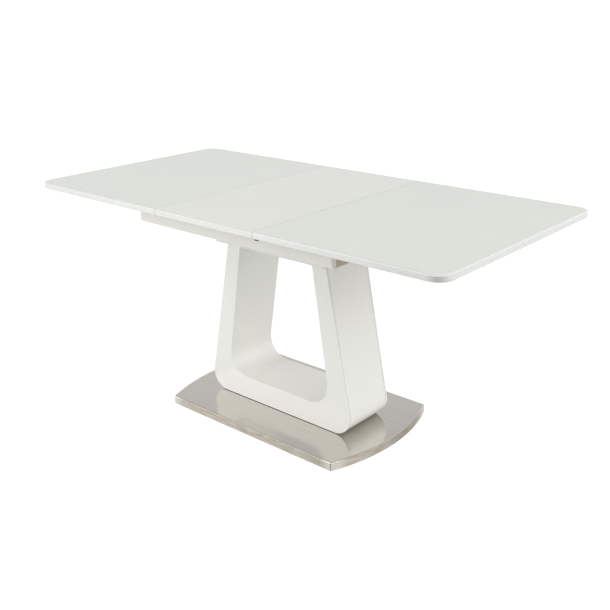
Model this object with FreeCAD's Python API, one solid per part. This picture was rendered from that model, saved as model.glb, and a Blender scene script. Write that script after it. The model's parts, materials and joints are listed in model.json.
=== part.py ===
import FreeCAD, Part
import math
import os

# Extendable pedestal dining table, drawn open with its insert leaf in place.
# Millimetres. X runs along the table, Y across it, Z up. The origin is on the
# floor under the middle of the table. "Front" is -Y, "left" is -X.

V = FreeCAD.Vector

# --- driving dimensions -----------------------------------------------------

TABLE_HEIGHT = 750.0
TABLE_WIDTH = 800.0
MAIN_LEAF = 600.0           # length of each of the two sliding leaves
INSERT_LEAF = 400.0         # length of the lift-out leaf
TRAVEL = INSERT_LEAF / 2    # each sliding leaf moves in by this to close
SEAM = 1.2                  # gap between neighbouring leaves
CORNER_R = 45.0             # outer corners of the top, seen from above
BOARD_T = 12.0              # lacquered board under the glass
GLASS_T = 8.0
TOP_EDGE_R = 5.0            # rounded upper edge of glass and insert
LOW_EDGE_R = 1.5            # eased lower edge of the boards

BASE_LENGTH = 800.0         # at the middle of the bowed ends
BASE_CORNER_X = 350.0
BASE_WIDTH = 500.0
BASE_TOP = 30.0
BASE_EDGE_R = 3.0           # outside bend of the steel round the upper edge
SHEET_T = 1.2
CORNER_SLOT = 2.0           # open joint of the steel at each corner
PAD_T = 2.0
PAD_R = 20.0

PED_DEPTH = 200.0
PED_FLOOR = 32.0            # underside of the pedestal, on its gasket
PED_HEAD = 585.0            # top of the legs
PED_FOOT_HALF = 315.0       # outer half-width at PED_FLOOR
PED_HEAD_HALF = 205.0       # outer half-width at PED_HEAD
PED_FOOT_R = 60.0
SILL = 109.0                # floor of the window
WINDOW_SILL_HALF = 226.0
WINDOW_HEAD_HALF = 151.0
WINDOW_R = 75.0
FACE_T = 6.0                # front and back panels
SKIN_T = 6.0                # bent outer skin and window liner
SHADOW_GAP = 1.6            # open joint between the outer skin and each panel
HEAD_BLOCK_H = 60.0
RIB_T = 20.0
RIB_HEIGHTS = (260.0, 400.0)

PLATE_HALF_X = 234.0
PLATE_HALF_Y = 135.0
PLATE_T = 18.0

FRAME_HALF_X = 394.0
FRAME_HALF_Y = 300.0
FRAME_FLOOR = 660.0
RAIL_T = 18.0
RAIL_TOP = 728.0
RAIL_END_R = 5.0
GLIDE_T = 1.7
END_RAIL_INSET = 2.0
END_RAIL_FLOOR = 657.0      # the end rails hang a little below the side rails
BEARER_X = (145.0, 228.0)   # cross bearers, from inner to outer face
CENTER_BEARER_HALF = 40.0
BEARER_TOP = 697.0          # the runner tracks lie on this
CENTER_TOP = 690.0

TRACK_WALL = 3.0
CHANNEL_W = 20.0
TRACK_H = 16.0
LIP_OPENING = 13.0
TRACK_HALF_X = 372.0
RUN_CLEAR = 0.3             # clearance of everything that slides
BAR_REACH = 60.0            # each bar passes the middle by this when open
BAR_OUTER = 700.0
BAR_LOW_TOP = 724.0         # top of the part of a bar that passes under other leaves

MODULE = 2.5
PINION_TEETH = 16
PRESSURE = math.radians(20.0)
ADDENDUM = 0.9 * MODULE
DEDENDUM = 1.25 * MODULE
BACKLASH = 0.5
RACK_T = 10.0
RACK_Z = 699.0
RACK_BACK = 35.0            # y of the rack's back face
RACK_TEETH_OUT = 29         # whole teeth on the leaf's side of the pinion
RACK_TEETH_IN = 3
AXLE_R = 4.0
BORE_CLEAR = 0.05
HANGER_X = (305.0, 340.0)

END_BATTEN_T = 18.0
SLIM_BATTEN_T = 14.0        # seam battens and insert battens
BATTEN_SCREW_Y = (-180.0, 0.0, 180.0)
CATCH_Y = 388.0

M8_R = 4.0
M8_HEAD_R = 7.0
M8_HEAD_H = 6.0

# --- dimensions that follow from them -----------------------------------------

TOP_UNDER = TABLE_HEIGHT - GLASS_T - BOARD_T
HALF_LENGTH = MAIN_LEAF + INSERT_LEAF / 2
HALF_WIDTH = TABLE_WIDTH / 2
SEAM_X = INSERT_LEAF / 2
RAIL_INNER = FRAME_HALF_Y - RAIL_T
TRACK_W = 3 * TRACK_WALL + 2 * CHANNEL_W
OUTER_CHANNEL = RAIL_INNER - TRACK_WALL - CHANNEL_W / 2
INNER_CHANNEL = OUTER_CHANNEL - TRACK_WALL - CHANNEL_W
PITCH_R = MODULE * PINION_TEETH / 2
PITCH = math.pi * MODULE
PLATE_TOP = PED_HEAD + PLATE_T


# --- small helpers ----------------------------------------------------------

def box(x0, x1, y0, y1, z0, z1):
    return Part.makeBox(x1 - x0, y1 - y0, z1 - z0, V(x0, y0, z0))


def rod(x, y, z0, z1, radius):
    return Part.makeCylinder(radius, z1 - z0, V(x, y, z0), V(0, 0, 1))


def rod_y(x, z, y0, y1, radius):
    return Part.makeCylinder(radius, y1 - y0, V(x, y0, z), V(0, 1, 0))


def flat(u, v):
    return V(u, v, 0)


def upright(u, v):
    return V(u, 0, v)


def rounded_face(corners, place):
    """A face from (u, v, radius) corners, each rounded by its own radius."""
    edges = []
    starts = []
    ends = []
    arcs = []
    count = len(corners)
    for i in range(count):
        u, v, r = corners[i]
        before = corners[i - 1]
        after = corners[(i + 1) % count]
        here = V(u, v, 0)
        back = (V(before[0], before[1], 0) - here).normalize()
        on = (V(after[0], after[1], 0) - here).normalize()
        if r == 0:
            starts.append(here)
            ends.append(here)
            arcs.append(None)
            continue
        half = back.getAngle(on) / 2
        reach = r / math.tan(half)
        inward = (back + on).normalize()
        middle = here + inward * (r / math.sin(half) - r)
        starts.append(here + back * reach)
        ends.append(here + on * reach)
        arcs.append(middle)
    for i in range(count):
        after = (i + 1) % count
        if arcs[i] is not None:
            points = [place(p.x, p.y) for p in (starts[i], arcs[i], ends[i])]
            edges.append(Part.Arc(*points).toShape())
        line = (place(ends[i].x, ends[i].y), place(starts[after].x, starts[after].y))
        edges.append(Part.LineSegment(*line).toShape())
    return Part.Face(Part.Wire(edges))


def slab(corners, z0, z1):
    """A flat piece: a plan outline raised from z0 to z1."""
    face = rounded_face(corners, flat)
    face.translate(V(0, 0, z0))
    return face.extrude(V(0, 0, z1 - z0))


def wall(corners, y0, y1):
    """An upright piece: an outline in XZ run from y0 to y1."""
    face = rounded_face(corners, upright)
    face.translate(V(0, y0, 0))
    return face.extrude(V(0, y1 - y0, 0))


def mirror_x(shape):
    return shape.mirror(V(0, 0, 0), V(1, 0, 0))


def mirror_y(shape):
    return shape.mirror(V(0, 0, 0), V(0, 1, 0))


def turned(shape):
    """The same piece on the other end of the table, turned half round."""
    copy = shape.copy()
    copy.rotate(V(0, 0, 0), V(0, 0, 1), 180)
    return copy


def cut(shape, tools):
    """The shape with every tool taken out, as one solid."""
    for tool in tools:
        shape = shape.cut(tool)
    return shape


def group(solids):
    return Part.makeCompound(list(solids))


def quads(x, y):
    """The four places at plus and minus x and y."""
    return [(sx * x, sy * y) for sx in (-1, 1) for sy in (-1, 1)]


def wood_screw(x, y, z_head, z_tip, radius=2.0, head_r=4.0, head_h=3.0):
    """A vertical screw whose flat head starts at z_head."""
    up = 1 if z_tip > z_head else -1
    z_neck = z_head + up * head_h
    head = rod(x, y, min(z_head, z_neck), max(z_head, z_neck), head_r)
    shank = rod(x, y, min(z_head, z_tip), max(z_head, z_tip), radius)
    return head.fuse(shank).removeSplitter()


NODES = {}


def keep(name, shape):
    NODES[name] = shape


# --- base plate ---------------------------------------------------------------

def base_outline(inset):
    """Plan of the base: straight long sides and bowed ends, inset all round."""
    y = BASE_WIDTH / 2 - inset
    bow = BASE_LENGTH / 2 - BASE_CORNER_X
    bow_r = ((BASE_WIDTH / 2) ** 2 + bow ** 2) / (2 * bow)
    centre = BASE_LENGTH / 2 - bow_r
    r = bow_r - inset
    x = centre + math.sqrt(r * r - y * y)
    tip = centre + r
    edges = [
        Part.LineSegment(V(-x, -y, 0), V(x, -y, 0)).toShape(),
        Part.Arc(V(x, -y, 0), V(tip, 0, 0), V(x, y, 0)).toShape(),
        Part.LineSegment(V(x, y, 0), V(-x, y, 0)).toShape(),
        Part.Arc(V(-x, y, 0), V(-tip, 0, 0), V(-x, -y, 0)).toShape(),
    ]
    return Part.Face(Part.Wire(edges))


def base_prism(inset, z0, z1):
    face = base_outline(inset)
    face.translate(V(0, 0, z0))
    return face.extrude(V(0, 0, z1 - z0))


def base_bolts():
    """Bolts from under the base into the foot blocks, heads sunk in the core."""
    bolts = []
    for x, y in quads(150.0, 55.0):
        head = rod(x, y, PAD_T + 1, PAD_T + 1 + M8_HEAD_H, M8_HEAD_R)
        shank = rod(x, y, PAD_T + 1, 88.0, M8_R)
        bolts.append(head.fuse(shank).removeSplitter())
    return bolts


def rounded_base(inset, z0, z1, radius):
    """Block with the plan of the base and its upper edge rounded all round."""
    block = base_prism(inset, z0, z1)
    rim = [edge for edge in block.Edges if edge.BoundBox.ZMin > z1 - 0.01]
    return block.makeFillet(radius, rim)


def make_base(bolts):
    """Weighted core in a steel tray: a folded top sheet and two bowed end bands."""
    sheet_under = BASE_TOP - SHEET_T
    long_side = BASE_WIDTH / 2
    sinks = [rod(x, y, PAD_T, PAD_T + 1, M8_HEAD_R) for x, y in quads(150.0, 55.0)]
    core = rounded_base(SHEET_T, PAD_T, sheet_under, BASE_EDGE_R - SHEET_T)
    shell = rounded_base(0, PAD_T, BASE_TOP, BASE_EDGE_R).cut(core)
    keep("base_core", cut(core, bolts + sinks))
    reach = BASE_LENGTH
    clear_y = long_side - SHEET_T
    end = box(0, reach, -clear_y, clear_y, PAD_T, sheet_under)
    flange_end = BASE_CORNER_X - CORNER_SLOT
    slot = box(flange_end, reach, -long_side, -clear_y, PAD_T, sheet_under)
    slots = [slot, mirror_y(slot)]
    slots += [mirror_x(piece) for piece in slots]
    keep("base_top_sheet", cut(shell, [end, mirror_x(end)] + slots + bolts))
    band = shell.common(end)
    keep("base_end_band_right", band)
    keep("base_end_band_left", mirror_x(band))
    places = quads(310.0, 205.0) + [(0.0, -205.0), (0.0, 205.0)]
    keep("base_pads", group(rod(x, y, 0, PAD_T, PAD_R) for x, y in places))
    keep("base_bolts", group(bolts))


# --- pedestal -------------------------------------------------------------------

def slanted(z, z_low, half_low, z_high, half_high):
    return half_low + (half_high - half_low) * (z - z_low) / (z_high - z_low)


def outer_half(z, inset=0.0):
    slope = (PED_FOOT_HALF - PED_HEAD_HALF) / (PED_HEAD - PED_FLOOR)
    shift = inset * math.hypot(1, slope)
    return slanted(z, PED_FLOOR, PED_FOOT_HALF, PED_HEAD, PED_HEAD_HALF) - shift


def window_half(z, outset=0.0):
    slope = (WINDOW_SILL_HALF - WINDOW_HEAD_HALF) / (PED_HEAD - SILL)
    shift = outset * math.hypot(1, slope)
    return slanted(z, SILL, WINDOW_SILL_HALF, PED_HEAD, WINDOW_HEAD_HALF) + shift


def u_shape(half_of, floor, radius):
    """The three sides of a loop open at the top, from left head to right head."""
    return [
        (-half_of(PED_HEAD), PED_HEAD, 0),
        (-half_of(floor), floor, radius),
        (half_of(floor), floor, radius),
        (half_of(PED_HEAD), PED_HEAD, 0),
    ]


def outer_u(inset):
    return u_shape(lambda z: outer_half(z, inset), PED_FLOOR + inset, PED_FOOT_R - inset)


def window_u(outset):
    return u_shape(lambda z: window_half(z, outset), SILL - outset, WINDOW_R + outset)


def leg_piece(side, z0, z1, y_half):
    """A block that fills one leg between its skins from z0 to z1."""
    corners = [
        (side * window_half(z0, SKIN_T), z0, 0),
        (side * outer_half(z0, SKIN_T), z0, 0),
        (side * outer_half(z1, SKIN_T), z1, 0),
        (side * window_half(z1, SKIN_T), z1, 0),
    ]
    return wall(corners, -y_half, y_half)


def make_pedestal(bolts):
    half = PED_DEPTH / 2
    inner = half - FACE_T
    face = wall(outer_u(0) + window_u(0)[::-1], -half, -inner)
    keep("pedestal_front_panel", face)
    keep("pedestal_back_panel", mirror_y(face))
    skin_half = inner - SHADOW_GAP
    skin = wall(outer_u(0) + outer_u(SKIN_T)[::-1], -skin_half, skin_half)
    keep("pedestal_outer_skin", cut(skin, bolts))
    liner = wall(window_u(SKIN_T) + window_u(0)[::-1], -inner, inner)
    keep("pedestal_window_liner", liner)
    ribs = []
    heads = []
    for side in (-1, 1):
        head = leg_piece(side, PED_HEAD - HEAD_BLOCK_H, PED_HEAD, inner)
        heads.append(cut(head, plate_screws()))
        for z in RIB_HEIGHTS:
            ribs.append(leg_piece(side, z, z + RIB_T, inner))
    keep("leg_head_blocks", group(heads))
    keep("leg_ribs", group(ribs))
    feet = []
    for side in (-1, 1):
        x0, x1 = sorted((side * 110.0, side * 190.0))
        foot = box(x0, x1, -inner, inner, PED_FLOOR + SKIN_T, SILL - SKIN_T)
        feet.append(cut(foot, bolts))
    keep("foot_blocks", group(feet))
    gasket_x = PED_FOOT_HALF - PED_FOOT_R - 15
    gasket = box(-gasket_x, gasket_x, -half + 10, half - 10, BASE_TOP, PED_FLOOR)
    keep("pedestal_gasket", cut(gasket, bolts))


# --- top plate, spacers and bearers -----------------------------------------------

def plate_screws():
    return [wood_screw(x, y, PLATE_TOP, 550.0, 2.5, 5.0) for x, y in quads(181.0, 65.0)]


def frame_bolts():
    """Bolts down through bearer, spacer and plate, each with a nut below."""
    bolts = []
    for x, y in quads(217.0, 105.0):
        head = rod(x, y, BEARER_TOP - M8_HEAD_H, BEARER_TOP, M8_HEAD_R)
        shank = rod(x, y, PED_HEAD - 9, BEARER_TOP, M8_R)
        bolts.append(head.fuse(shank).removeSplitter())
    return bolts


def hex_nut(x, y, z0, z1):
    corners = []
    for i in range(6):
        a = math.radians(60 * i)
        corners.append((x + 7.5 * math.cos(a), y + 7.5 * math.sin(a), 0))
    return slab(corners, z0, z1).cut(rod(x, y, z0, z1, M8_R))


def make_deck():
    bolts = frame_bolts()
    screws = plate_screws()
    hx = PLATE_HALF_X
    hy = PLATE_HALF_Y
    outline = [(-hx, -hy, 12), (hx, -hy, 12), (hx, hy, 12), (-hx, hy, 12)]
    plate = slab(outline, PED_HEAD, PLATE_TOP)
    keep("pedestal_top_plate", cut(plate, bolts + screws))
    keep("plate_screws", group(screws))
    nuts = [hex_nut(x, y, PED_HEAD - 6.5, PED_HEAD) for x, y in quads(217.0, 105.0)]
    keep("frame_bolts", group(bolts + nuts))
    x0, x1 = BEARER_X
    spacer = cut(box(x0, x1, -120, 120, PLATE_TOP, FRAME_FLOOR), bolts)
    left = cut(box(-x1, -x0, -120, 120, PLATE_TOP, FRAME_FLOOR), bolts)
    keep("spacer_blocks", group([left, spacer]))
    dowels = frame_dowels()
    bearer = box(x0, x1, -RAIL_INNER, RAIL_INNER, FRAME_FLOOR, BEARER_TOP)
    keep("cross_bearer_right", cut(bearer, bolts + dowels))
    keep("cross_bearer_left", cut(mirror_x(bearer), bolts + dowels))
    half = CENTER_BEARER_HALF
    centre = box(-half, half, -RAIL_INNER, RAIL_INNER, FRAME_FLOOR, CENTER_TOP)
    keep("center_bearer", cut(centre, dowels))


# --- frame ---------------------------------------------------------------------

def frame_dowels():
    """Wooden dowels from the side rails into bearers and end rails."""
    pegs = []
    bearer_mid = sum(BEARER_X) / 2
    end_mid = FRAME_HALF_X - END_RAIL_INSET - RAIL_T / 2
    places = [(0.0, 20.0, 675.0)]
    places += [(side * bearer_mid, 25.0, 678.0) for side in (-1, 1)]
    for x, spread, z in places:
        for off in (-spread, spread):
            pegs.append(rod_y(x + off, z, -RAIL_INNER - 10, -RAIL_INNER + 30, 5.0))
    for side in (-1, 1):
        for z in (671.0, 688.0):
            pegs.append(rod_y(side * end_mid, z, -RAIL_INNER - 10, -RAIL_INNER + 30, 4.0))
    return pegs + [mirror_y(p) for p in pegs]


def make_frame():
    dowels = frame_dowels()
    x = FRAME_HALF_X
    outline = [
        (-x, FRAME_FLOOR, RAIL_END_R),
        (x, FRAME_FLOOR, RAIL_END_R),
        (x, RAIL_TOP, 2),
        (-x, RAIL_TOP, 2),
    ]
    rail = wall(outline, -FRAME_HALF_Y, -RAIL_INNER)
    keep("side_rail_front", cut(rail, dowels))
    keep("side_rail_back", cut(mirror_y(rail), dowels))
    x1 = FRAME_HALF_X - END_RAIL_INSET
    x0 = x1 - RAIL_T
    end = box(x0, x1, -RAIL_INNER, RAIL_INNER, END_RAIL_FLOOR, BEARER_TOP)
    keep("end_rail_right", cut(end, dowels))
    keep("end_rail_left", cut(mirror_x(end), dowels))
    keep("frame_dowels", group(dowels))
    angle = box(x0 - 30, x0, RAIL_INNER - 2, RAIL_INNER, 668, 692)
    angle = angle.fuse(box(x0 - 2, x0, RAIL_INNER - 30, RAIL_INNER, 668, 692))
    angle = angle.removeSplitter()
    right = [angle, mirror_y(angle)]
    keep("corner_brackets", group(right + [mirror_x(a) for a in right]))
    strip = box(-x + 10, x - 10, RAIL_INNER + 3, FRAME_HALF_Y - 3, RAIL_TOP, RAIL_TOP + GLIDE_T)
    keep("rail_glides", group([strip, mirror_y(strip)]))


# --- runners -------------------------------------------------------------------

def track_screws():
    places = []
    for x in (-185.0, 185.0):
        for y in (-OUTER_CHANNEL, OUTER_CHANNEL, -INNER_CHANNEL, INNER_CHANNEL):
            places.append((x, y))
    floor = BEARER_TOP + TRACK_WALL
    return [wood_screw(x, y, floor, 672.0, 1.75, 2.5, 2.0) for x, y in places]


def make_tracks(screws):
    """Double T-slot tracks along both side rails, one slot for each leaf."""
    y1 = RAIL_INNER
    y0 = y1 - TRACK_W
    z0 = BEARER_TOP
    z1 = z0 + TRACK_H
    body = box(-TRACK_HALF_X, TRACK_HALF_X, y0, y1, z0, z1)
    for mid in (OUTER_CHANNEL, INNER_CHANNEL):
        half = CHANNEL_W / 2
        slot = box(-TRACK_HALF_X, TRACK_HALF_X, mid - half, mid + half,
                   z0 + TRACK_WALL, z1 - TRACK_WALL)
        gap = LIP_OPENING / 2
        mouth = box(-TRACK_HALF_X, TRACK_HALF_X, mid - gap, mid + gap,
                    z1 - TRACK_WALL, z1)
        body = body.cut(slot).cut(mouth)
    keep("runner_track_back", cut(body, screws))
    keep("runner_track_front", cut(mirror_y(body), screws))
    keep("track_screws", group(screws))
    for name in ("cross_bearer_left", "cross_bearer_right"):
        NODES[name] = cut(NODES[name], screws)
    shut = TRAVEL + BAR_REACH + RUN_CLEAR
    stops = []
    for side, mid in ((1, OUTER_CHANNEL), (-1, INNER_CHANNEL)):
        x0, x1 = sorted((side * shut, side * (shut + 12)))
        stop = box(x0, x1, mid - 9.5, mid + 9.5, z0 + TRACK_WALL, z0 + TRACK_WALL + 9)
        stops += [stop, mirror_y(stop)]
    keep("travel_stops", group(stops))


def bar_screws(mid):
    """Screws up through a left bar into its leaf."""
    foot = BEARER_TOP + TRACK_WALL + RUN_CLEAR
    return [wood_screw(x, mid, foot, TOP_UNDER + 9) for x in (-680.0, -560.0, -440.0)]


def left_bar(mid):
    """A T-shaped sliding bar of the left leaf, raised where it meets the leaf."""
    foot_z0 = BEARER_TOP + TRACK_WALL + RUN_CLEAR
    foot_z1 = BEARER_TOP + TRACK_H - TRACK_WALL - RUN_CLEAR
    half = CHANNEL_W / 2 - RUN_CLEAR
    stem = LIP_OPENING / 2 - RUN_CLEAR
    foot = box(-BAR_OUTER, BAR_REACH, mid - half, mid + half, foot_z0, foot_z1)
    web = box(-BAR_OUTER, BAR_REACH, mid - stem, mid + stem, foot_z1, BAR_LOW_TOP)
    pad = box(-BAR_OUTER, -SEAM_X - 15, mid - stem, mid + stem, BAR_LOW_TOP, TOP_UNDER)
    bar = foot.fuse([web, pad]).removeSplitter()
    return cut(bar, bar_screws(mid))


# --- synchroniser ------------------------------------------------------------------

def involute(base_r, r):
    """Angle that an involute from base_r has turned through at radius r."""
    pressure = math.acos(min(1.0, base_r / r))
    return math.tan(pressure) - pressure


def sync_pinion():
    """Spur gear whose teeth push the two racks opposite ways."""
    base_r = PITCH_R * math.cos(PRESSURE)
    tip_r = PITCH_R + ADDENDUM
    root_r = PITCH_R - DEDENDUM
    half = (PITCH - BACKLASH) / 4 / PITCH_R
    offset = half + involute(base_r, PITCH_R)
    steps = 5
    radii = [base_r + (tip_r - base_r) * i / steps for i in range(steps + 1)]
    points = []
    for tooth in range(PINION_TEETH):
        middle = math.pi / 2 + 2 * math.pi * tooth / PINION_TEETH
        rising = [(r, middle - offset + involute(base_r, r)) for r in radii]
        falling = [(r, middle + offset - involute(base_r, r)) for r in reversed(radii)]
        flank = [(root_r, middle - offset)] + rising + falling + [(root_r, middle + offset)]
        points += [V(r * math.cos(a), r * math.sin(a), 0) for r, a in flank]
    wire = Part.makePolygon(points + [points[0]])
    face = Part.Face(wire)
    z0 = RACK_Z + RUN_CLEAR
    face.translate(V(0, 0, z0))
    gear = face.extrude(V(0, 0, RACK_T - 2 * RUN_CLEAR))
    bore = rod(0, 0, z0 - 1, RACK_Z + RACK_T + 1, AXLE_R + BORE_CLEAR)
    return gear.cut(bore)


def left_rack():
    """Rack of the left leaf, on the back side of the pinion."""
    root = PITCH_R + DEDENDUM
    tip = PITCH_R - ADDENDUM
    half = (PITCH - BACKLASH) / 4
    at_root = half + DEDENDUM * math.tan(PRESSURE)
    at_tip = half - ADDENDUM * math.tan(PRESSURE)
    inner_end = RACK_TEETH_IN * PITCH
    corners = [(inner_end, RACK_BACK, 0), (-HANGER_X[1], RACK_BACK, 0), (-HANGER_X[1], root, 0)]
    for i in range(-RACK_TEETH_OUT, RACK_TEETH_IN):
        x = (i + 0.5) * PITCH
        corners += [(x - at_root, root, 0), (x - at_tip, tip, 0)]
        corners += [(x + at_tip, tip, 0), (x + at_root, root, 0)]
    corners.append((inner_end, root, 0))
    rack = slab(corners, RACK_Z, RACK_Z + RACK_T)
    return cut(rack, hanger_screws())


def hanger_screws():
    """Screws up through rack and hanger into the left leaf."""
    y = (PITCH_R + DEDENDUM + RACK_BACK) / 2
    return [wood_screw(x, y, RACK_Z, TOP_UNDER + 9) for x in (-330.0, -315.0)]


def left_hanger():
    x0, x1 = HANGER_X
    block = box(-x1, -x0, PITCH_R + DEDENDUM, RACK_BACK, RACK_Z + RACK_T, TOP_UNDER)
    return cut(block, hanger_screws())


def rack_guide():
    """C-shaped guide behind the left leaf's rack, open towards the pinion."""
    z0 = CENTER_TOP + 3
    z1 = RACK_Z + RACK_T + 3.5
    outer = box(-30, 30, PITCH_R + DEDENDUM + 3, RACK_BACK + 7, z0, z1)
    slot = box(-30, 30, 0, RACK_BACK + RUN_CLEAR, RACK_Z - RUN_CLEAR,
               RACK_Z + RACK_T + RUN_CLEAR)
    return outer.cut(slot)


def make_synchroniser():
    z0 = CENTER_TOP
    bracket = slab([(-36, -60, 6), (36, -60, 6), (36, 60, 6), (-36, 60, 6)], z0, z0 + 3)
    screws = [wood_screw(x, y, z0 + 3, z0 - 18, 1.75, 3.5, 2.0) for x, y in quads(28.0, 52.0)]
    keep("pinion_bracket", cut(bracket, screws))
    NODES["center_bearer"] = cut(NODES["center_bearer"], screws)
    keep("bracket_screws", group(screws))
    flange = rod(0, 0, z0 + 3, RACK_Z, 9.0)
    pin = rod(0, 0, z0 + 3, RACK_Z + RACK_T + 3, AXLE_R)
    clip_z = RACK_Z + RACK_T
    clip = rod(0, 0, clip_z, clip_z + 1.2, 7.0).cut(rod(0, 0, clip_z, clip_z + 1.2, AXLE_R))
    keep("pinion_axle", flange.fuse(pin).removeSplitter())
    keep("axle_clip", clip)
    guide = rack_guide()
    keep("rack_guides", group([guide, turned(guide)]))
    keep("sync_pinion", sync_pinion())


# --- leaves ----------------------------------------------------------------------

def left_outline():
    x0 = -HALF_LENGTH
    x1 = -SEAM_X - SEAM / 2
    y = HALF_WIDTH
    return [(x0, -y, CORNER_R), (x1, -y, 0), (x1, y, 0), (x0, y, CORNER_R)]


def ease(shape, z, radius, away_from_x):
    """Round the edges at height z, leaving those on the seam faces sharp."""
    chosen = []
    for edge in shape.Edges:
        bounds = edge.BoundBox
        level = abs(bounds.ZMin - z) < 0.01 and abs(bounds.ZMax - z) < 0.01
        on_seam = any(
            abs(bounds.XMin - x) < 0.01 and abs(bounds.XMax - x) < 0.01 for x in away_from_x
        )
        if level and not on_seam:
            chosen.append(edge)
    return shape.makeFillet(radius, chosen)


def left_leaf(channel):
    """The left leaf's pieces, by name without its side; its bars run at y = channel."""
    seam = [-SEAM_X - SEAM / 2]
    board_top = TOP_UNDER + BOARD_T
    board = ease(slab(left_outline(), TOP_UNDER, board_top), TOP_UNDER, LOW_EDGE_R, seam)
    glass = ease(slab(left_outline(), board_top, TABLE_HEIGHT), TABLE_HEIGHT, TOP_EDGE_R, seam)
    under_end = TOP_UNDER - END_BATTEN_T
    under_seam = TOP_UNDER - SLIM_BATTEN_T
    batten_screws = []
    for y in BATTEN_SCREW_Y:
        batten_screws.append(wood_screw(-742.0, y, under_end, TOP_UNDER + 9))
        batten_screws.append(wood_screw(-222.0, y, under_seam, TOP_UNDER + 9))
    end_batten = box(-770, -715, -225, 225, under_end, TOP_UNDER)
    seam_batten = box(-240, -205, -215, 215, under_seam, TOP_UNDER)
    screws = bar_screws(channel) + bar_screws(-channel) + batten_screws + hanger_screws()
    return {
        "board": cut(board, screws),
        "glass": glass,
        "end_batten": cut(end_batten, batten_screws),
        "seam_batten": cut(seam_batten, batten_screws),
        "bar_front": left_bar(-channel),
        "bar_back": left_bar(channel),
        "rack": left_rack(),
        "rack_hanger": left_hanger(),
        "leaf_screws": group(screws),
    }


def make_leaves():
    """The right leaf is a left one turned half round, with its bars in the inner slots."""
    for name, shape in left_leaf(OUTER_CHANNEL).items():
        keep("left_" + name, shape)
    swap = {"bar_front": "bar_back", "bar_back": "bar_front"}
    for name, shape in left_leaf(INNER_CHANNEL).items():
        keep("right_" + swap.get(name, name), turned(shape))
    catches = []
    for y in (-CATCH_Y, CATCH_Y):
        x0 = SEAM_X + 3
        catches.append(box(x0, x0 + 11, y - 6, y + 6, TOP_UNDER - 5, TOP_UNDER))
    keep("right_leaf_catches", group(catches))


def make_insert():
    half = SEAM_X - SEAM / 2
    y = HALF_WIDTH
    outline = [(-half, -y, 0), (half, -y, 0), (half, y, 0), (-half, y, 0)]
    board = slab(outline, TOP_UNDER, TABLE_HEIGHT)
    board = ease(board, TABLE_HEIGHT, TOP_EDGE_R, [-half, half])
    board = ease(board, TOP_UNDER, LOW_EDGE_R, [-half, half])
    under = TOP_UNDER - SLIM_BATTEN_T
    screws = []
    battens = []
    for x in (-120.0, 120.0):
        row = [wood_screw(x, at, under, TABLE_HEIGHT - 7) for at in BATTEN_SCREW_Y]
        battens.append(cut(box(x - 20, x + 20, -215, 215, under, TOP_UNDER), row))
        screws += row
    keep("insert_board", cut(board, screws))
    keep("insert_battens", group(battens))
    keep("insert_screws", group(screws))


# --- build and write ----------------------------------------------------------------

def main():
    bolts = base_bolts()
    make_base(bolts)
    make_pedestal(bolts)
    make_deck()
    make_frame()
    make_tracks(track_screws())
    make_synchroniser()
    make_leaves()
    make_insert()
    os.makedirs("parts", exist_ok=True)
    for name, shape in NODES.items():
        solids = shape.Solids
        if len(solids) == 1:
            shape = solids[0]
        volume = sum(s.Volume for s in solids)
        print(name, len(solids), "solids", round(volume), shape.isValid())
        shape.exportStep(os.path.join("parts", name + ".step"))


main()
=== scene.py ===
import json
import math

import bmesh
import bpy
from mathutils import Matrix, Vector


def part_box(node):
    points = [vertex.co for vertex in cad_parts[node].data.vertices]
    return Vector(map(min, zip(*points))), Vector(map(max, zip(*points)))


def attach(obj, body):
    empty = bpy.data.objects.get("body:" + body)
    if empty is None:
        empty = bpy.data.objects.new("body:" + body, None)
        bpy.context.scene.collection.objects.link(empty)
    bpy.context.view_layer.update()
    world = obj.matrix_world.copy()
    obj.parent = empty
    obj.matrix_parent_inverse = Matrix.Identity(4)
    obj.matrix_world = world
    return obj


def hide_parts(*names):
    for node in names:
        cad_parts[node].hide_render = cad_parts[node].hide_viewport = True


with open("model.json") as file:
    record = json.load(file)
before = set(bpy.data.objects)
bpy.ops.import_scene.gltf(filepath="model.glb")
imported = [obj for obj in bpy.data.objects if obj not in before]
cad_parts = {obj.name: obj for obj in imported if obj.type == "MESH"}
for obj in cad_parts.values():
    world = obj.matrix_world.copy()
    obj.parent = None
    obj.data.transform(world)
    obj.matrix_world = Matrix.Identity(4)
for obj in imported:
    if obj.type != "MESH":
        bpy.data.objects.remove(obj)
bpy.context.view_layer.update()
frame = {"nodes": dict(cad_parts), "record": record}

# The extendable pedestal table, opened, with its insert leaf in place. Metres, in the CAD
# frame: X along the table, Y across it, Z up. "Front" is -Y.

NODES = frame["nodes"]
RECORD = frame["record"]
SLOT_OF = {part["node"]: part["material_slot"] for part in RECORD["subparts"]}
BODY_OF = {
    node: body for body, members in RECORD["behaviour"]["bodies"].items() for node in members
}
SCENE = bpy.context.scene
MM = 0.001

# --- camera -------------------------------------------------------------------------

CAMERA_AT = Vector((1.7736, -1.9932, 1.3771))
CAMERA_AZIMUTH = math.radians(41.06)
CAMERA_DOWN = math.radians(20.547)
CAMERA_ROLL = math.radians(-0.594)
CAMERA_LENS_MM = 51.12
SENSOR_MM = 36.0
NEAR_CLIP, FAR_CLIP = 0.05, 900.0


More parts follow.
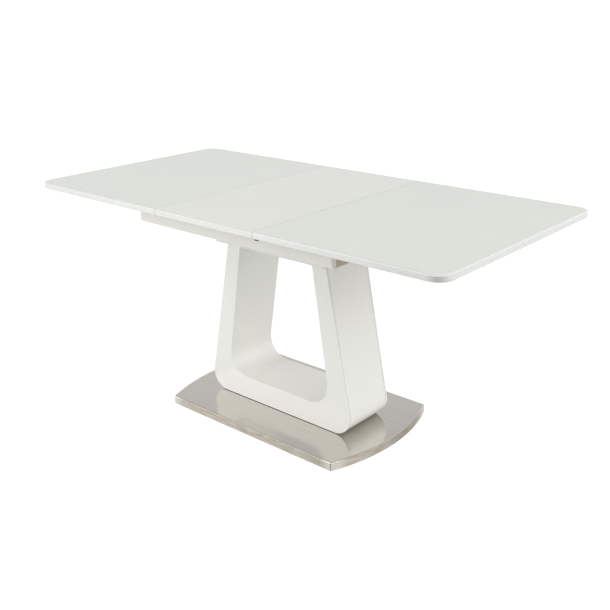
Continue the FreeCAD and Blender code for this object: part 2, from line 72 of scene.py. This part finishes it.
def make_camera():
    data = bpy.data.cameras.new("camera")
    data.lens = CAMERA_LENS_MM
    data.sensor_width = SENSOR_MM
    data.clip_start = NEAR_CLIP
    data.clip_end = FAR_CLIP
    cam = bpy.data.objects.new("camera", data)
    SCENE.collection.objects.link(cam)
    a, e = CAMERA_AZIMUTH, CAMERA_DOWN
    back = Vector((math.sin(a) * math.cos(e), -math.cos(a) * math.cos(e), math.sin(e)))
    right = Vector((math.cos(a), math.sin(a), 0.0))
    up = back.cross(right)
    c, s = math.cos(CAMERA_ROLL), math.sin(CAMERA_ROLL)
    across = right * c + up * s
    upward = up * c - right * s
    turn = Matrix((across, upward, back)).transposed()
    cam.matrix_world = Matrix.Translation(CAMERA_AT) @ turn.to_4x4()
    SCENE.camera = cam


# --- light and floor -----------------------------------------------------------------

LENS_SIDE = (math.sin(CAMERA_AZIMUTH), -math.cos(CAMERA_AZIMUTH), 0.2)
AMBIENT = 1.10              # radiance of the studio away from every zone below
# Zones of the studio: direction, cosine where it starts, cosine where it is full, weight.
# Low in the LENS_SIDE zone the sum falls below zero, to -0.22 at the least.
ZONES = (
    ((0.0, 0.0, 1.0), 0.15, 0.85, -0.77),       # overhead
    ((0.0, 0.0, -1.0), -0.45, 0.0, -0.53),      # 27 degrees up to below the horizon
    (LENS_SIDE, 0.95, 0.995, -2.00),            # the dark round the lens
    ((0.0, -1.0, 0.0), -0.1, 0.5, 0.58),        # front
    ((1.0, 0.0, 0.0), -0.1, 0.5, 0.63),         # right
    ((-1.0, 0.0, 0.0), -0.1, 0.5, -0.35),       # left
    ((0.0, 1.0, 0.0), -0.1, 0.5, 0.28),         # back
)
BACKDROP_SEEN = 1.0         # radiance of the backdrop where the camera sees it
FLOOR_HALF = 300.0
FLOOR_ALBEDO = 0.14
FLOOR_ROUGHNESS = 0.9
FLOOR_SEEN = 0.95           # glow of the floor where the camera sees it
FLOOR_GLOW = 0.66           # its glow as a light, away from the dim patches
# Dim patches of the floor's glow, painted shade: centre, reach, change of glow in the middle.
FLOOR_SHADE_PATCHES = (
    ((1.9, -2.1, 0.0), 4.0, -0.54),             # painted shade round the camera's foot
    ((0.47, 0.12, 0.0), 0.28, -0.25),           # painted shadow of the base, beside its right end
)
KEY_AT = (-2.6, -3.6, 1.3)
KEY_AIM = (0.0, 0.0, 0.5)
KEY_SIZE = (2.4, 1.8)
KEY_WATTS = 33.0


def summed(tree, total, amount, weight):
    """total + amount * weight, where total is a number or a socket."""
    step = tree.nodes.new("ShaderNodeMath")
    step.operation = "MULTIPLY_ADD"
    tree.links.new(amount, step.inputs[0])
    step.inputs[1].default_value = weight
    if isinstance(total, float):
        step.inputs[2].default_value = total
    else:
        tree.links.new(total, step.inputs[2])
    return step.outputs[0]


def make_world():
    """A pale studio: one level of light, with more or less of it towards each side."""
    world = bpy.data.worlds.new("studio")
    world.use_nodes = True
    tree = world.node_tree
    tree.nodes.clear()
    add, link = tree.nodes.new, tree.links.new
    coords = add("ShaderNodeTexCoord").outputs["Generated"]

    def zone(direction, start, end):
        toward = add("ShaderNodeVectorMath")
        toward.operation = "DOT_PRODUCT"
        toward.inputs[1].default_value = direction
        link(coords, toward.inputs[0])
        span = add("ShaderNodeMapRange")
        span.interpolation_type = "SMOOTHSTEP"
        span.inputs["From Min"].default_value = start
        span.inputs["From Max"].default_value = end
        link(toward.outputs["Value"], span.inputs["Value"])
        return span.outputs[0]

    background = add("ShaderNodeBackground")
    background.inputs["Color"].default_value = (1, 1, 1, 1)
    total = AMBIENT
    for direction, start, end, weight in ZONES:
        total = summed(tree, total, zone(direction, start, end), weight)
    seen = add("ShaderNodeMix")
    seen.inputs["B"].default_value = BACKDROP_SEEN
    link(add("ShaderNodeLightPath").outputs["Is Camera Ray"], seen.inputs["Factor"])
    link(total, seen.inputs["A"])
    link(seen.outputs["Result"], background.inputs["Strength"])
    out = add("ShaderNodeOutputWorld")
    link(background.outputs[0], out.inputs["Surface"])
    SCENE.world = world


def quad(name, corners, material):
    mesh = bpy.data.meshes.new(name)
    mesh.from_pydata(corners, [], [(0, 1, 2, 3)])
    mesh.materials.append(material)
    obj = bpy.data.objects.new(name, mesh)
    SCENE.collection.objects.link(obj)


def make_floor():
    """A white floor, which as a light is dimmer in the painted shade patches of
    FLOOR_SHADE_PATCHES.
    """
    mat = bpy.data.materials.new("floor_white")
    mat.use_nodes = True
    add, link = mat.node_tree.nodes.new, mat.node_tree.links.new
    shader = mat.node_tree.nodes["Principled BSDF"]
    shader.inputs["Base Color"].default_value = (FLOOR_ALBEDO,) * 3 + (1,)
    shader.inputs["Roughness"].default_value = FLOOR_ROUGHNESS
    shader.inputs["Emission Color"].default_value = (1, 1, 1, 1)
    here = add("ShaderNodeNewGeometry").outputs["Position"]
    total = FLOOR_GLOW
    for centre, reach, change in FLOOR_SHADE_PATCHES:
        away = add("ShaderNodeVectorMath")
        away.operation = "DISTANCE"
        away.inputs[1].default_value = centre
        link(here, away.inputs[0])
        dip = add("ShaderNodeMapRange")
        dip.interpolation_type = "SMOOTHSTEP"
        dip.inputs["From Max"].default_value = reach
        dip.inputs["To Min"].default_value = change
        dip.inputs["To Max"].default_value = 0.0
        link(away.outputs["Value"], dip.inputs["Value"])
        total = summed(mat.node_tree, total, dip.outputs[0], 1.0)
    seen = add("ShaderNodeMix")
    seen.inputs["B"].default_value = FLOOR_SEEN
    link(add("ShaderNodeLightPath").outputs["Is Camera Ray"], seen.inputs["Factor"])
    link(total, seen.inputs["A"])
    link(seen.outputs["Result"], shader.inputs["Emission Strength"])
    size = FLOOR_HALF
    corners = [(-size, -size, 0), (size, -size, 0), (size, size, 0), (-size, size, 0)]
    quad("floor", corners, mat)


def area_light(name, at, aim, size, power):
    data = bpy.data.lights.new(name, "AREA")
    data.shape = "RECTANGLE"
    data.size, data.size_y = size
    data.energy = power
    lamp = bpy.data.objects.new(name, data)
    SCENE.collection.objects.link(lamp)
    lamp.location = at
    lamp.rotation_mode = "QUATERNION"
    lamp.rotation_quaternion = (Vector(aim) - Vector(at)).to_track_quat("-Z", "Y")


def make_lights():
    area_light("front_box", KEY_AT, KEY_AIM, KEY_SIZE, KEY_WATTS)


# --- materials -----------------------------------------------------------------------

# Where a tone starts and is full, by the upward part of the surface normal or its size.
UPRIGHT = (0.2, 0.05)
ROUNDED = (0.97, 0.8)
UNDERSIDE = (-0.6, -0.9)
STEEL_SIDE = (0.9, 0.4)

BLACK = (0.0, 0.0, 0.0)
EDGE_BAND = ((0.87, 0.87, 0.84), (0.91, 0.91, 0.88))
EDGE_METAL = 0.62
EDGE_ROUGH = (0.1, 0.1, 0.1)
ARRIS_PAINTED_SHADE = (0.72, 0.73, 0.69)  # the rounded edge, painted darker as shade to damp the highlight it catches
# Near these corners the steel sides are polished, with lower roughness, and painted lighter as a
# highlight.
POLISH_HIGHLIGHT_CORNER = (0.352, 0.236, 0.015)     # and its mirror images
POLISH_HIGHLIGHT_FULL, POLISH_HIGHLIGHT_NONE = 0.02, 0.05       # reaches from that point
BEECH = ((0.55, 0.475, 0.365), (0.64, 0.565, 0.45), (0.42, 0.335, 0.235))


class Finish:
    """A Principled material under construction, with its procedural inputs."""

    def __init__(self, name, **sockets):
        self.material = bpy.data.materials.new(name)
        self.material.use_nodes = True
        self.tree = self.material.node_tree
        self.shader = self.tree.nodes["Principled BSDF"]
        self.coords = self.tree.nodes.new("ShaderNodeTexCoord").outputs["Object"]
        for socket, value in sockets.items():
            self.shader.inputs[socket.replace("_", " ")].default_value = value

    def add(self, kind, **settings):
        node = self.tree.nodes.new("ShaderNode" + kind)
        for name, value in settings.items():
            setattr(node, name, value)
        return node

    def link(self, source, target):
        self.tree.links.new(source, target)

    def stretched(self, stretch):
        """Object coordinates multiplied axis by axis."""
        scale = self.add("VectorMath", operation="MULTIPLY")
        scale.inputs[1].default_value = stretch
        self.link(self.coords, scale.inputs[0])
        return scale.outputs[0]

    def noise(self, per_metre, detail=2.0, stretch=(1, 1, 1), warp=0.0):
        node = self.add("TexNoise")
        node.inputs["Scale"].default_value = per_metre
        node.inputs["Detail"].default_value = detail
        node.inputs["Distortion"].default_value = warp
        self.link(self.stretched(stretch), node.inputs["Vector"])
        return node.outputs[0]

    def ramp(self, value, low, high, at=(0.3, 0.7)):
        """A colour or grey level running from low to high as value passes between at."""
        node = self.add("ValToRGB")
        for stop, place, tone in zip(node.color_ramp.elements, at, (low, high)):
            stop.position = place
            stop.color = (*tone, 1) if isinstance(tone, tuple) else (tone, tone, tone, 1)
        self.link(value, node.inputs[0])
        return node.outputs[0]

    def mix(self, factor, a, b):
        """Mixes two colours, each a socket or a plain colour, by a factor socket or number."""
        node = self.add("Mix", data_type="RGBA")
        for name, value in (("Factor", factor), ("A", a), ("B", b)):
            target = node.inputs[name]
            if isinstance(value, bpy.types.NodeSocket):
                self.link(value, target)
            else:
                target.default_value = (*value, 1) if isinstance(value, tuple) else value
        return node.outputs["Result"]

    def span(self, value, start, end):
        """0 where value is start, 1 where it is end, and between them in step."""
        node = self.add("MapRange")
        node.inputs["From Min"].default_value = start
        node.inputs["From Max"].default_value = end
        self.link(value, node.inputs["Value"])
        return node.outputs[0]

    def steepness(self):
        """The upward part of the surface normal, from -1 to 1."""
        split = self.add("SeparateXYZ")
        self.link(self.add("NewGeometry").outputs["Normal"], split.inputs[0])
        return split.outputs["Z"]

    def side_facing(self, start, end):
        """1 where the surface is upright and 0 where it is level."""
        size = self.add("Math", operation="ABSOLUTE")
        self.link(self.steepness(), size.inputs[0])
        return self.span(size.outputs[0], start, end)

    def nearness(self, point, full, none):
        """1 within full metres of a point, or of its mirror images, and 0 beyond none."""
        fold = self.add("VectorMath", operation="ABSOLUTE")
        self.link(self.coords, fold.inputs[0])
        away = self.add("VectorMath", operation="DISTANCE")
        away.inputs[1].default_value = point
        self.link(fold.outputs[0], away.inputs[0])
        return self.span(away.outputs["Value"], none, full)

    def color(self, source):
        self.link(source, self.shader.inputs["Base Color"])

    def rough(self, source):
        self.link(source, self.shader.inputs["Roughness"])

    def bumps(self, *layers):
        """Layers are (height socket, depth in metres)."""
        normal = None
        for height, depth in layers:
            node = self.add("Bump")
            node.inputs["Distance"].default_value = depth
            self.link(height, node.inputs["Height"])
            if normal is not None:
                self.link(normal, node.inputs["Normal"])
            normal = node.outputs[0]
        self.link(normal, self.shader.inputs["Normal"])
        return self.material


def lacquer(name, low, high, rough, coat):
    """Sprayed lacquer: faint mottling, orange peel and a slow swell."""
    f = Finish(name, Coat_Weight=coat, Coat_Roughness=0.12)
    cloud = f.noise(7.0, 3.0)
    f.color(f.ramp(cloud, low, high))
    f.rough(f.ramp(f.noise(45.0, 3.0), rough - 0.04, rough + 0.04))
    peel = f.noise(420.0, 1.0)
    swell = f.noise(60.0, 1.0)
    return f.bumps((peel, 0.000004), (swell, 0.00001))


def white_lacquer():
    return lacquer("white_lacquer", (0.865, 0.865, 0.825), (0.885, 0.885, 0.845), 0.36, 0.6)


def insert_lacquer():
    return edge_polished("insert_lacquer", (0.825, 0.825, 0.775), (0.845, 0.845, 0.795), 0.3)


def leaf_lacquer():
    return edge_polished("leaf_lacquer", (0.80, 0.81, 0.77), (0.83, 0.835, 0.795), 0.3)


def edge_polished(name, low, high, rough):
    """Board with lacquered faces, a silvery gloss edge band and a beige backing foil below; its
    rounded arris is painted darker as shade.
    """
    f = Finish(name, Coat_Weight=0.2, Coat_Roughness=0.1)
    side = f.side_facing(*UPRIGHT)
    under = f.span(f.steepness(), *UNDERSIDE)
    arris_painted_shade = f.span(f.steepness(), *ROUNDED)
    face = f.ramp(f.noise(6.0, 3.0), low, high)
    foil = f.ramp(f.noise(240.0, 3.0), (0.50, 0.43, 0.33), (0.58, 0.51, 0.40))
    band = f.ramp(f.noise(30.0, 2.0), *EDGE_BAND)
    # the rounded arris is painted darker as shade, to damp the highlight it catches
    face = f.mix(arris_painted_shade, face, ARRIS_PAINTED_SHADE)
    f.color(f.mix(side, f.mix(under, face, foil), band))
    f.link(f.ramp(side, 0.0, EDGE_METAL, (0.0, 1.0)), f.shader.inputs["Metallic"])
    grain = f.ramp(f.noise(9.0, 2.0), rough - 0.02, rough + 0.02)
    f.rough(f.mix(side, grain, EDGE_ROUGH))
    return f.bumps((f.noise(12.0, 1.0), 0.00003))


def satin_glass():
    """Etched glass painted white behind, with ground and polished edges; its rounded arris is
    painted darker as shade.
    """
    f = Finish("satin_glass", Coat_Weight=0.25, Coat_Roughness=0.22, IOR=1.52)
    side = f.side_facing(*UPRIGHT)
    arris_painted_shade = f.span(f.steepness(), *ROUNDED)
    cloud = f.noise(4.0, 3.0)
    face = f.ramp(cloud, (0.785, 0.81, 0.75), (0.805, 0.825, 0.765))
    # the rounded arris is painted darker as shade, to damp the highlight it catches
    face = f.mix(arris_painted_shade, face, ARRIS_PAINTED_SHADE)
    rim = f.ramp(f.noise(25.0, 2.0), (0.88, 0.895, 0.86), (0.92, 0.93, 0.9))
    f.color(f.mix(side, face, rim))
    f.link(f.ramp(side, 0.0, EDGE_METAL, (0.0, 1.0)), f.shader.inputs["Metallic"])
    etched = f.ramp(f.noise(9.0, 2.0), 0.29, 0.33)
    f.rough(f.mix(side, etched, EDGE_ROUGH))
    return f.bumps((f.noise(9.0, 1.0), 0.00003))


def stainless():
    """Brushed stainless sheet, brushed along X, wiped cloudy, with polished corner joints. The
    upright sides carry brushing streaks tinted warm brown as a painted reflection, the rounded
    bends are painted darker as shade, and near the corners the sides are painted lighter as a
    highlight.
    """
    f = Finish("stainless", Metallic=1.0, Anisotropic=0.35)
    streak = f.noise(900.0, 5.0, (0.012, 1, 1))
    broad = f.noise(70.0, 3.0, (0.05, 1, 1))
    cloud = f.noise(6.0, 3.0, warp=0.6)
    top = f.ramp(broad, (0.635, 0.595, 0.565), (0.675, 0.64, 0.61))
    top = f.mix(f.ramp(cloud, 0.1, 0.5), top, (0.655, 0.645, 0.58))
    blotch = f.noise(170.0, 3.0, (0.12, 0.12, 1), warp=0.4)
    fine = f.ramp(streak, (0.58, 0.53, 0.43), (0.99, 0.94, 0.82), (0.2, 0.8))
    # upright sides: brushing streaks and blotches tinted warm brown, a painted reflection
    side_streaks_painted_reflection = f.mix(0.55, fine, f.ramp(blotch, (0.48, 0.415, 0.31), (0.99, 0.96, 0.88)))
    side = f.side_facing(*STEEL_SIDE)
    # the rounded bend is painted darker as shade, to damp the highlight it catches
    bend_painted_shade = f.span(f.steepness(), *ROUNDED)
    bend_painted_shade = f.mix(f.side_facing(*UPRIGHT), bend_painted_shade, BLACK)
    tone = f.mix(bend_painted_shade, f.mix(side, top, side_streaks_painted_reflection), (0.42, 0.39, 0.34))
    # near the corners: polished sides, with lower roughness and a painted highlight in the colour
    near = f.nearness(POLISH_HIGHLIGHT_CORNER, POLISH_HIGHLIGHT_FULL, POLISH_HIGHLIGHT_NONE)
    corner_polish_and_highlight = f.mix(near, BLACK, side)
    f.color(f.mix(corner_polish_and_highlight, tone, (0.97, 0.94, 0.86)))
    brushed = f.mix(0.5, f.ramp(streak, 0.10, 0.18), f.ramp(cloud, 0.10, 0.20))
    f.rough(f.mix(corner_polish_and_highlight, brushed, (0.12, 0.12, 0.12)))
    return f.bumps((streak, 0.000006), (f.noise(5.0, 1.0), 0.0002))


def drawn_out(axis, share):
    """A stretch that draws a pattern out along one axis, whose scale drops to share."""
    return tuple(share if i == axis else 1.0 for i in range(3))


def grained(name, low, high, dark, axis, rough):
    """Wood with growth-ring bands, fine pores and rays running along one axis."""
    f = Finish(name)
    rings = f.noise(28.0, 3.0, drawn_out(axis, 0.06), warp=0.8)
    pores = f.noise(900.0, 4.0, drawn_out(axis, 0.05))
    flecks = f.noise(260.0, 2.0, drawn_out(axis, 0.16))
    tone = f.ramp(rings, low, high, (0.25, 0.75))
    tone = f.mix(f.ramp(pores, 0.55, 0.0, (0.25, 0.48)), tone, dark)
    tone = f.mix(f.ramp(flecks, 0.0, 0.35, (0.6, 0.75)), tone, dark)
    f.color(tone)
    f.rough(f.ramp(rings, rough - 0.08, rough + 0.06))
    return f.bumps((pores, 0.00008), (rings, 0.00012))


def fibreboard():
    """Dark sealed fibreboard: fine matted fibres and paler lumps."""
    f = Finish("core_board")
    fibres = f.noise(1300.0, 4.0, (1, 1, 0.3))
    lumps = f.noise(60.0, 3.0)
    tone = f.ramp(fibres, (0.075, 0.06, 0.05), (0.14, 0.115, 0.09))
    f.color(f.mix(f.ramp(lumps, 0.0, 0.4), tone, (0.17, 0.14, 0.11)))
    f.rough(f.ramp(fibres, 0.78, 0.92))
    return f.bumps((fibres, 0.0001))


def felt():
    """Black needled felt with matted hairs."""
    f = Finish("pad_felt", Sheen_Weight=0.4, Sheen_Roughness=0.6)
    hairs = f.noise(1500.0, 4.0, warp=1.5)
    f.color(f.ramp(hairs, (0.035, 0.035, 0.037), (0.11, 0.11, 0.112)))
    f.rough(f.ramp(hairs, 0.85, 1.0))
    return f.bumps((hairs, 0.0003))


def zinc():
    """Bright zinc plating with a faint yellow-blue passivation."""
    f = Finish("zinc_steel", Metallic=1.0)
    cloud = f.noise(180.0, 3.0, warp=0.7)
    spangle = f.noise(900.0, 2.0)
    tone = f.ramp(cloud, (0.60, 0.60, 0.57), (0.70, 0.71, 0.74))
    f.color(f.mix(f.ramp(spangle, 0.0, 0.3), tone, (0.66, 0.63, 0.53)))
    f.rough(f.ramp(spangle, 0.24, 0.42))
    return f.bumps((spangle, 0.00003))


def moulded(name, low, high, rough, sheen=0.0):
    """Moulded plastic or rubber with a fine spark-eroded grain."""
    f = Finish(name, Sheen_Weight=sheen)
    grain = f.noise(1400.0, 2.0)
    f.color(f.ramp(f.noise(80.0, 3.0), low, high))
    f.rough(f.ramp(grain, rough - 0.07, rough + 0.07))
    return f.bumps((grain, 0.00006))


def extrusion():
    """Aluminium extrusion with die lines along X."""
    f = Finish("aluminium_extrusion", Metallic=1.0, Anisotropic=0.4)
    lines = f.noise(1500.0, 4.0, (0.004, 1, 1))
    cloud = f.noise(20.0, 3.0)
    f.color(f.ramp(lines, (0.70, 0.71, 0.71), (0.82, 0.82, 0.82)))
    f.rough(f.mix(0.5, f.ramp(lines, 0.26, 0.42), f.ramp(cloud, 0.28, 0.4)))
    return f.bumps((lines, 0.00003))


def make_finishes():
    plain = {
        "core_board": fibreboard(),
        "stainless": stainless(),
        "pad_felt": felt(),
        "zinc_steel": zinc(),
        "white_lacquer": white_lacquer(),
        "black_gasket": moulded(
            "black_gasket", (0.02, 0.02, 0.02), (0.04, 0.04, 0.04), 0.7, sheen=0.2),
        "white_nylon": moulded("white_nylon", (0.72, 0.71, 0.67), (0.80, 0.79, 0.76), 0.42),
        "aluminium_extrusion": extrusion(),
        "black_plastic": moulded(
            "black_plastic", (0.02, 0.02, 0.021), (0.045, 0.045, 0.047), 0.4),
        "leaf_lacquer": leaf_lacquer(),
        "satin_glass": satin_glass(),
        "insert_lacquer": insert_lacquer(),
    }
    beech = [grained("beech_" + "xyz"[axis], *BEECH, axis, 0.55) for axis in range(3)]
    return plain, beech


def longest_axis(node):
    low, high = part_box(node)
    size = high - low
    return max(range(3), key=lambda i: size[i])


def finish_nodes(plain, beech):
    for name, obj in NODES.items():
        slot = SLOT_OF[name]
        mat = beech[longest_axis(name)] if slot == "beech" else plain[slot]
        if not obj.data.materials:
            obj.data.materials.append(mat)
        for place in obj.material_slots:
            place.material = mat


# --- fastener heads and shanks ------------------------------------------------------------

RING = 24                   # points round every ring
WELD = 1e-6                 # points closer than this are one
SAME_LEVEL = 2e-5           # points within this height of each other share a face

# Countersunk screws: shares of the head's height or radius, or of the shank's radius.
RECESS_DEPTH = 0.75
ARM, ARM_HALF = 0.52, 0.15
ARM_DEEP, HALF_DEEP = 0.45, 0.6             # the bottom of the recess against its mouth
HEAD_FLAT, HEAD_RIM = 0.93, 0.06
WOOD_THREAD, WOOD_CORE, WOOD_POINT = 0.22, 0.6, 0.12
WOOD_PITCH = 2.2 * MM
WOOD_START, WOOD_END, CORE_END = 2.0 * MM, 4.0 * MM, 2.0 * MM

# Cap screws: shares of a radius or length, then lengths.
SOCKET, SOCKET_TIP, SOCKET_MOUTH, THREAD_FROM = 0.5, 0.2, 1.12, 0.6
SOCKET_POINT, SOCKET_FLOOR, SOCKET_LIP = 4.2 * MM, 3.5 * MM, 0.3 * MM
CAP_CHAMFER, NECK_CHAMFER = 0.6 * MM, 0.3 * MM
BOLT_PITCH, BOLT_THREAD, BOLT_TIP, BOLT_CHAMFER = 1.25 * MM, 0.6 * MM, 1.0 * MM, 0.8 * MM

NUT_BORE = 4.0 * MM
NUT_CHAMFER = 0.5 * MM
NUT_FLAT = 0.94             # radius of a nut's flat face against its corner radius


def circle(radius, z):
    steps = (math.tau * (i + 0.5) / RING for i in range(RING))
    return [(radius * math.cos(a), radius * math.sin(a), z) for a in steps]


def polygon(radius, sides, z, round_to=None):
    """A ring of RING points along a regular polygon of corner radius, or kept inside round_to."""
    points = []
    for i in range(RING):
        a = math.tau * (i + 0.5) / RING
        wedge = math.tau / sides
        off = (a % wedge) - wedge / 2
        r = radius * math.cos(wedge / 2) / math.cos(off)
        r = min(r, round_to) if round_to else r
        points.append((r * math.cos(a), r * math.sin(a), z))
    return points


def cross(arm, half, z):
    """A ring of RING points round a plus sign, in the same turning order as circle()."""
    mid = (arm + half) / 2
    wing = [(half, half), (mid, half), (arm, half), (arm, 0), (arm, -half), (mid, -half)]
    points = []
    for turn in range(4):
        c, s = round(math.cos(-math.tau * turn / 4)), round(math.sin(-math.tau * turn / 4))
        points += [(x * c - y * s, x * s + y * c, z) for x, y in wing]
    return sorted(points, key=lambda p: math.atan2(p[1], p[0]) % math.tau)


def loft(mesh, rings, place, closed=False):
    """Skins rings of equal size; the ends are capped unless the last ring joins the first."""
    rows = [[mesh.verts.new(place @ Vector(p)) for p in ring] for ring in rings]
    pairs = list(zip(rows, rows[1:]))
    if closed:
        pairs.append((rows[-1], rows[0]))
    for one, two in pairs:
        for i in range(RING):
            j = (i + 1) % RING
            mesh.faces.new((one[i], one[j], two[j], two[i]))
    if not closed:
        mesh.faces.new(rows[0])
        mesh.faces.new(rows[-1][::-1])


def thread_rings(r, z0, z1, pitch, depth):
    """Ridged rings along a shank from z0 to z1."""
    count = max(2, int(abs(z1 - z0) / pitch))
    rings = []
    for i in range(count):
        z = z0 + (z1 - z0) * i / count
        rings.append(circle(r, z))
        rings.append(circle(r - depth, z + (z1 - z0) / count * 0.5))
    return rings


def islands(node):
    """Vertices of each separate solid of a CAD node, as lists of points."""
    mesh = bmesh.new()
    mesh.from_mesh(NODES[node].data)
    bmesh.ops.remove_doubles(mesh, verts=mesh.verts, dist=WELD)
    mesh.verts.ensure_lookup_table()
    left = set(mesh.verts)
    found = []
    while left:
        stack = [left.pop()]
        group = []
        while stack:
            vert = stack.pop()
            group.append(vert.co.copy())
            for edge in vert.link_edges:
                other = edge.other_vert(vert)
                if other in left:
                    left.remove(other)
                    stack.append(other)
        found.append(group)
    mesh.free()
    return sorted(found, key=lambda g: [round(v, 4) for v in sum(g, Vector()) / len(g)])


def measure(points):
    """Axis x and y; head face, neck and tip z; head and shank radius, which is 0 for a nut."""
    xs, ys = [p.x for p in points], [p.y for p in points]
    x, y = (min(xs) + max(xs)) / 2, (min(ys) + max(ys)) / 2
    levels = sorted({round(p.z, 5) for p in points})

    def reach(z):
        return max(math.hypot(p.x - x, p.y - y) for p in points if abs(p.z - z) < SAME_LEVEL)

    if len(levels) < 3:
        return x, y, levels[0], levels[0], levels[-1], reach(levels[0]), 0.0
    if reach(levels[0]) < reach(levels[-1]):
        levels.reverse()
    return x, y, levels[0], levels[1], levels[-1], reach(levels[0]), reach(levels[-1])


def countersunk(mesh, x, y, face, neck, tip, head_r, shank_r):
    """A wood screw with a cross recess, drawn from the recess out and down to its point."""
    up = 1 if tip > face else -1
    depth = abs(neck - face) * RECESS_DEPTH
    arm, half = head_r * ARM, head_r * ARM_HALF
    rings = [
        cross(arm * ARM_DEEP, half * HALF_DEEP, up * depth),
        cross(arm, half, 0.0),
        circle(head_r * HEAD_FLAT, 0.0),
        circle(head_r, up * HEAD_RIM * head_r),
        circle(shank_r, neck - face),
    ]
    start, end = neck - face + up * WOOD_START, (tip - face) - up * WOOD_END
    rings += thread_rings(shank_r, start, end, WOOD_PITCH, shank_r * WOOD_THREAD)
    rings += [
        circle(shank_r * WOOD_CORE, (tip - face) - up * CORE_END),
        circle(shank_r * WOOD_POINT, tip - face),
    ]
    loft(mesh, rings, Matrix.Translation((x, y, face)))


def cap_screw(mesh, x, y, face, neck, tip, head_r, shank_r):
    """A bolt with a hexagon socket in a chamfered cylinder head."""
    up = 1 if tip > face else -1
    socket = head_r * SOCKET
    start, end = (tip - face) * THREAD_FROM, (tip - face) - up * BOLT_TIP
    rings = [
        polygon(socket * SOCKET_TIP, 6, up * SOCKET_POINT),
        polygon(socket, 6, up * SOCKET_FLOOR),
        polygon(socket, 6, up * SOCKET_LIP),
        circle(socket * SOCKET_MOUTH, 0.0),
        circle(head_r - CAP_CHAMFER, 0.0),
        circle(head_r, up * CAP_CHAMFER),
        circle(head_r, neck - face - up * NECK_CHAMFER),
        circle(head_r - NECK_CHAMFER, neck - face),
        circle(shank_r, neck - face),
        circle(shank_r, start - up * BOLT_THREAD),
    ]
    rings += thread_rings(shank_r, start, end, BOLT_PITCH, BOLT_THREAD)
    rings.append(circle(shank_r - BOLT_CHAMFER, tip - face))
    loft(mesh, rings, Matrix.Translation((x, y, face)))


def nut(mesh, x, y, low, high, reach, bore_r):
    """A hexagon nut, chamfered on both faces, round its bolt."""
    flat = reach * NUT_FLAT
    rings = [
        circle(bore_r, low),
        polygon(reach, 6, low, flat),
        polygon(reach, 6, low + NUT_CHAMFER),
        polygon(reach, 6, high - NUT_CHAMFER),
        polygon(reach, 6, high, flat),
        circle(bore_r, high),
    ]
    loft(mesh, rings, Matrix.Translation((x, y, 0)), closed=True)


FASTENERS = {
    "left_leaf_screws": countersunk,
    "right_leaf_screws": countersunk,
    "insert_screws": countersunk,
    "plate_screws": countersunk,
    "track_screws": countersunk,
    "bracket_screws": countersunk,
    "base_bolts": cap_screw,
    "frame_bolts": cap_screw,
}


def make_fasteners(material):
    """Threaded, recessed screws and bolts in place of the plain ones."""
    for node, build in FASTENERS.items():
        mesh = bmesh.new()
        for points in islands(node):
            x, y, face, neck, tip, head_r, shank_r = measure(points)
            if shank_r:
                build(mesh, x, y, face, neck, tip, head_r, shank_r)
            else:
                nut(mesh, x, y, face, tip, head_r, NUT_BORE)
        bmesh.ops.recalc_face_normals(mesh, faces=mesh.faces)
        data = bpy.data.meshes.new(node + "_detail")
        mesh.to_mesh(data)
        mesh.free()
        data.materials.append(material)
        obj = bpy.data.objects.new(node + "_detail", data)
        SCENE.collection.objects.link(obj)
        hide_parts(node)
        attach(obj, BODY_OF[node])


# --- eased edges -----------------------------------------------------------------------

EASED_MM = {
    "pedestal_top_plate": 1.0,
    "side_rail_front": 1.0,
    "side_rail_back": 1.0,
    "end_rail_left": 0.8,
    "end_rail_right": 0.8,
}
EASED_SEGMENTS = 2
EASED_ABOVE = math.radians(40)  # only edges sharper than this are eased


def ease_edges():
    for name, width in EASED_MM.items():
        bevel = NODES[name].modifiers.new("eased", "BEVEL")
        bevel.width = width * MM
        bevel.segments = EASED_SEGMENTS
        bevel.limit_method = "ANGLE"
        bevel.angle_limit = EASED_ABOVE


make_camera()
make_world()
make_floor()
make_lights()
plain_finishes, beech_finishes = make_finishes()
finish_nodes(plain_finishes, beech_finishes)
make_fasteners(plain_finishes["zinc_steel"])
ease_edges()
SCENE.view_settings.view_transform = "Standard"
